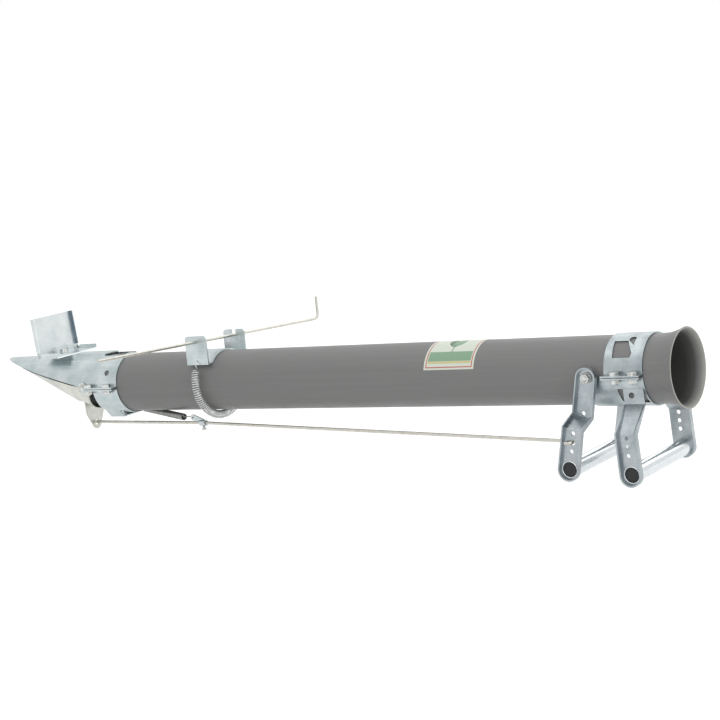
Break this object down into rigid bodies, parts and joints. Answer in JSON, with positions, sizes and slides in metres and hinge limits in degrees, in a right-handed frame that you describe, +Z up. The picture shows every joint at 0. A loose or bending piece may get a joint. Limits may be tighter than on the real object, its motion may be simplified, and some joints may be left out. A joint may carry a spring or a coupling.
{
  "type": "hand planter",
  "caption": "Hand planter: a long plastic tube with a hinged steel beak at its foot, opened through a pull rod by a squeeze handle near the flared mouth, with a sliding row marker.",
  "frame": {"origin": "on the surface that the tool lies on, under the middle of its box", "axes": "+X along the tube towards its mouth, level; +Y across, to the side of the marker wire's upturned end; +Z up"},
  "size_m": [1.0846, 0.4562, 0.1685],
  "materials": {
    "tube_plastic": "satin",
    "sticker_film": "semi-gloss",
    "zinc_sheet": "zinc plated",
    "zinc_wire": "zinc plated",
    "fastener_steel": "zinc plated",
    "spring_steel": "bare",
    "plug_plastic": "moulded"
  },
  "bodies": {
    "root": {"tube": "tube_plastic", "sticker": "sticker_film", "fixed_jaw": "zinc_sheet", "lower_beak_collar": "zinc_sheet", "beak_collar_bolts": "fastener_steel", "beak_collar_nuts": "fastener_steel", "jaw_pivot_rivets": "fastener_steel", "jaw_pivot_washers": "fastener_steel", "foot_plate": "zinc_sheet", "foot_plate_bolt": "fastener_steel", "foot_plate_washer": "fastener_steel", "foot_plate_nut": "fastener_steel", "upper_handle_clamp": "zinc_sheet", "lower_handle_clamp": "zinc_sheet", "handle_clamp_bolts": "fastener_steel", "handle_clamp_nuts": "fastener_steel", "near_fixed_arm": "zinc_sheet", "far_fixed_arm": "zinc_sheet", "fixed_grip": "zinc_sheet", "fixed_grip_plugs": "plug_plastic", "handle_pivot_studs": "fastener_steel", "handle_pivot_bushes": "fastener_steel", "handle_pivot_washers": "fastener_steel", "handle_pivot_nuts": "fastener_steel", "return_spring": "spring_steel"},
    "moving_handle": {"near_moving_arm": "zinc_sheet", "far_moving_arm": "zinc_sheet", "moving_grip": "zinc_sheet", "moving_grip_plugs": "plug_plastic"},
    "moving_jaw": {"moving_jaw": "zinc_sheet"},
    "spring_clip": {"spring_clip": "zinc_sheet", "clip_screw": "fastener_steel"},
    "pull_rod": {"pull_rod": "zinc_wire"},
    "marker_bracket": {"marker_bracket": "zinc_sheet", "strap_spring": "spring_steel"},
    "marker_wire": {"marker_wire": "zinc_wire"}
  },
  "joints": [
    {"name": "handle_squeeze", "type": "hinge", "parent": "root", "child": "moving_handle", "pos_m": [0.43621, -0.00858, 0.116], "axis": [0, -1, 0], "range_deg": [0, 24], "stiffness_Nm_per_rad": 2.4, "springref_deg": -14.32},
    {"name": "jaw_open", "type": "hinge", "parent": "root", "child": "moving_jaw", "pos_m": [-0.36288, -0.00858, 0.06851], "axis": [0, -1, 0], "range_deg": [0, 25.8]},
    {"name": "clip_slide", "type": "slide", "parent": "root", "child": "spring_clip", "axis": [0.9934, 0, -0.115], "range_m": [0, 0.0296], "deforming": ["return_spring"]},
    {"name": "rod_swing", "type": "hinge", "parent": "spring_clip", "child": "pull_rod", "pos_m": [-0.16683, -0.02658, 0.0241], "axis": [0, -1, 0], "range_deg": [0, 0.37]},
    {"name": "marker_slide", "type": "slide", "parent": "root", "child": "marker_bracket", "axis": [0.9982, 0, 0.0606], "range_m": [-0.015, 0.32]},
    {"name": "wire_slide", "type": "slide", "parent": "marker_bracket", "child": "marker_wire", "axis": [0.0035, 0.9983, -0.0575], "range_m": [-0.16, 0.15]}
  ],
  "couplings": [
    {"joint": "jaw_open", "follows": "handle_squeeze", "ratio": 1.0735},
    {"joint": "clip_slide", "follows": "handle_squeeze", "m_per_rad": 0.070521},
    {"joint": "rod_swing", "follows": "handle_squeeze", "ratio": 0.015123}
  ]
}
